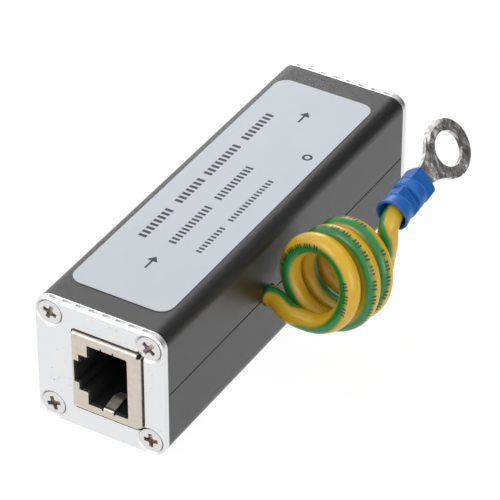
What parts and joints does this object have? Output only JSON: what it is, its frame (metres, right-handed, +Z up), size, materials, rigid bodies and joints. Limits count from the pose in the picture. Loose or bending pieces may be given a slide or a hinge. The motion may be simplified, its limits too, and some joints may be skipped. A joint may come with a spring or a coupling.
{
  "type": "ethernet surge protector",
  "caption": "Small square case with a shielded network socket at each end, a pale label on top, and a coiled yellow and green earth lead ending in a crimped ring terminal.",
  "frame": {"origin": "middle of the case's bottom face", "axes": "+X across the end plates towards the earth lead, +Y along the case from the input plate to the output plate, +Z up from the base to the label"},
  "size_m": [0.0455, 0.0842, 0.0331],
  "materials": {
    "case_anodise": "fine-grained black anodise, satin",
    "plate_aluminium": "rolled aluminium with fine specks and scratches, satin",
    "screw_steel": "zinc-plated steel, satin",
    "shield_nickel": "nickel-plated folded sheet, satin, slightly warm",
    "jack_plastic": "moulded black, low gloss",
    "contact_gilt": "gold-plated spring wire, glossy",
    "board_laminate": "green glass-fibre laminate under a solder mask",
    "gas_tube_ceramic": "pale ceramic body with nickel electrodes",
    "diode_plastic": "moulded black, low gloss",
    "resistor_ceramic": "dark coated chip with tinned ends",
    "solder": "bright solder fillet",
    "copper_core": "bare drawn copper",
    "lead_insulation": "yellow insulation with green stripes and small dark marks, satin",
    "sleeve_vinyl": "blue crimped insulating sleeve, satin",
    "terminal_tin": "tin-plated, mottled, satin",
    "label_film": "pale grey printed label, satin"
  },
  "bodies": {
    "root": {"lower_shell": "case_anodise", "upper_shell": "case_anodise", "input_end_plate": "plate_aluminium", "output_end_plate": "plate_aluminium", "input_plate_screws": "screw_steel", "output_plate_screws": "screw_steel", "input_jack_shield": "shield_nickel", "output_jack_shield": "shield_nickel", "input_jack_body": "jack_plastic", "output_jack_body": "jack_plastic", "input_jack_contacts": "contact_gilt", "output_jack_contacts": "contact_gilt", "circuit_board": "board_laminate", "gas_tube_1": "gas_tube_ceramic", "gas_tube_2": "gas_tube_ceramic", "gas_tube_3": "gas_tube_ceramic", "gas_tube_4": "gas_tube_ceramic", "clamp_diodes": "diode_plastic", "line_resistors": "resistor_ceramic", "top_label": "label_film", "earth_lead_tail": "lead_insulation", "earth_lead_core": "copper_core", "earth_solder_joint": "solder", "earth_lead_in": "lead_insulation", "earth_coil": "lead_insulation", "earth_lead_rise": "lead_insulation", "ring_terminal": "terminal_tin", "terminal_core": "copper_core", "terminal_sleeve": "sleeve_vinyl"}
  },
  "joints": []
}
